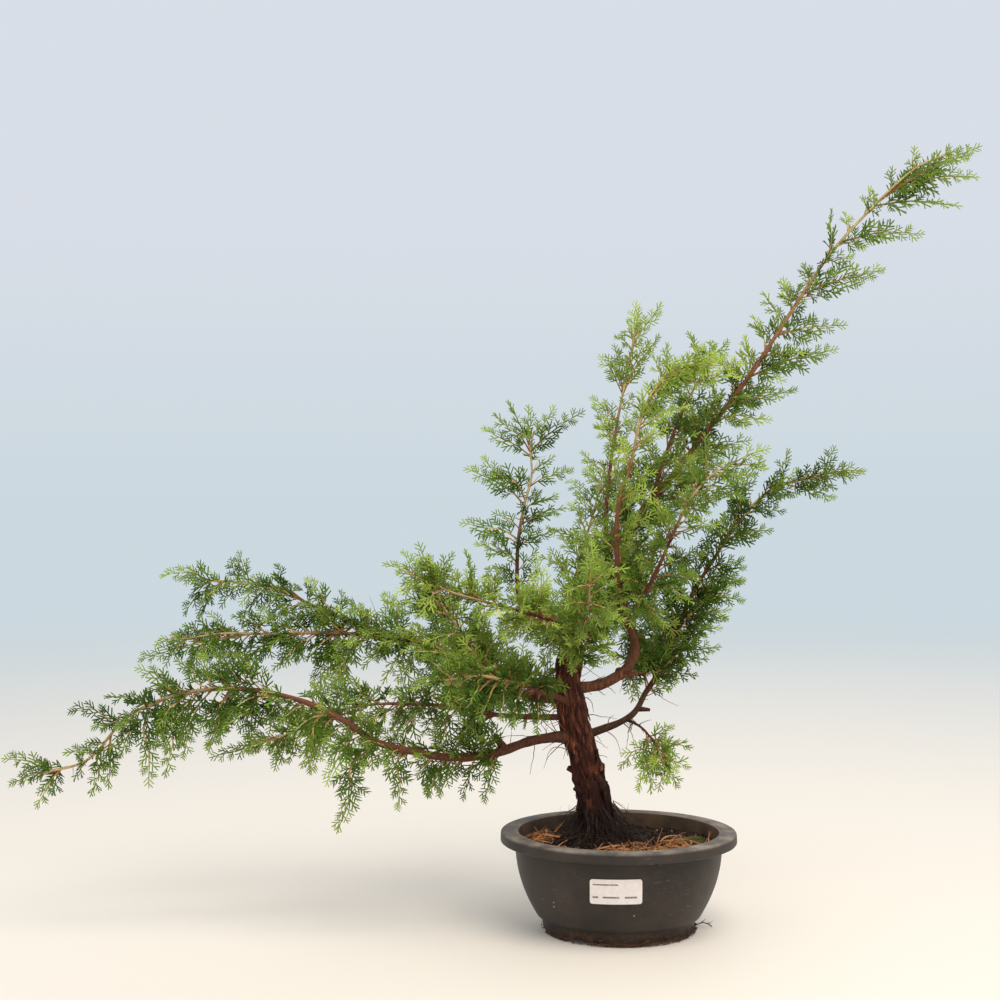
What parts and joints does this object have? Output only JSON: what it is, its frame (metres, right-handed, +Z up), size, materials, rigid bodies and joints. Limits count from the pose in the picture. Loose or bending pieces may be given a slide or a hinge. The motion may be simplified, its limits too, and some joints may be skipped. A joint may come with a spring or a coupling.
{
  "type": "bonsai tree in a pot",
  "caption": "Young juniper bonsai with feathery sprays on long bent limbs, rooted in soil in a round dark plastic pot with a flat lip.",
  "frame": {"origin": "centre of the pot's underside, on the plane its feet and middle pad stand on", "axes": "+Z up through the pot; +X to the right of the tree's front, towards the tall leader; -Y towards the viewer of the tree's front"},
  "size_m": [0.8002, 0.3062, 0.6425],
  "materials": {
    "pot_plastic": "dusty matt moulding with scuffs",
    "label_paper": "smooth off-white sticker",
    "soil": "dark granular compost and grit",
    "root_fibre": "matted fine brown roots",
    "moss": "short dull green moss",
    "dry_needles": "loose dry orange-brown needles",
    "old_bark": "dark flaking red-brown bark",
    "young_bark": "thin brown bark, paler towards the tips",
    "foliage": "fine green scale and needle foliage, yellower at the tips"
  },
  "bodies": {
    "root": {"label": "label_paper", "limb_centre_front": "young_bark", "limb_centre_rear": "young_bark", "limb_centre_right": "young_bark", "limb_front": "young_bark", "limb_front_left": "young_bark", "limb_inner_right": "young_bark", "limb_left_leader": "young_bark", "limb_left_riser": "young_bark", "limb_lower_left": "young_bark", "limb_main_leader": "young_bark", "limb_mid_left": "young_bark", "limb_rear": "young_bark", "limb_rear_left": "young_bark", "limb_rear_right": "young_bark", "limb_right": "young_bark", "limb_right_low": "young_bark", "limb_top_left": "young_bark", "limb_upper_left": "young_bark", "limb_upper_left_fork": "young_bark", "litter_front": "dry_needles", "litter_left": "dry_needles", "litter_right": "dry_needles", "moss": "moss", "pot": "pot_plastic", "root_mat": "root_fibre", "soil": "soil", "spray_centre_front": "foliage", "spray_centre_rear": "foliage", "spray_centre_right": "foliage", "spray_front": "foliage", "spray_front_left": "foliage", "spray_inner_right": "foliage", "spray_left_leader_low": "foliage", "spray_left_leader_top": "foliage", "spray_left_riser": "foliage", "spray_lower_left_inner": "foliage", "spray_lower_left_outer": "foliage", "spray_lower_left_tip": "foliage", "spray_main_leader_low": "foliage", "spray_main_leader_mid": "foliage", "spray_main_leader_top": "foliage", "spray_mid_left": "foliage", "spray_rear": "foliage", "spray_rear_left": "foliage", "spray_rear_right": "foliage", "spray_right_hanging": "foliage", "spray_right_low": "foliage", "spray_right_top": "foliage", "spray_top_left": "foliage", "spray_upper_left_fork": "foliage", "spray_upper_left_inner": "foliage", "spray_upper_left_outer": "foliage", "straggling_root": "root_fibre", "trunk": "old_bark"}
  },
  "joints": []
}
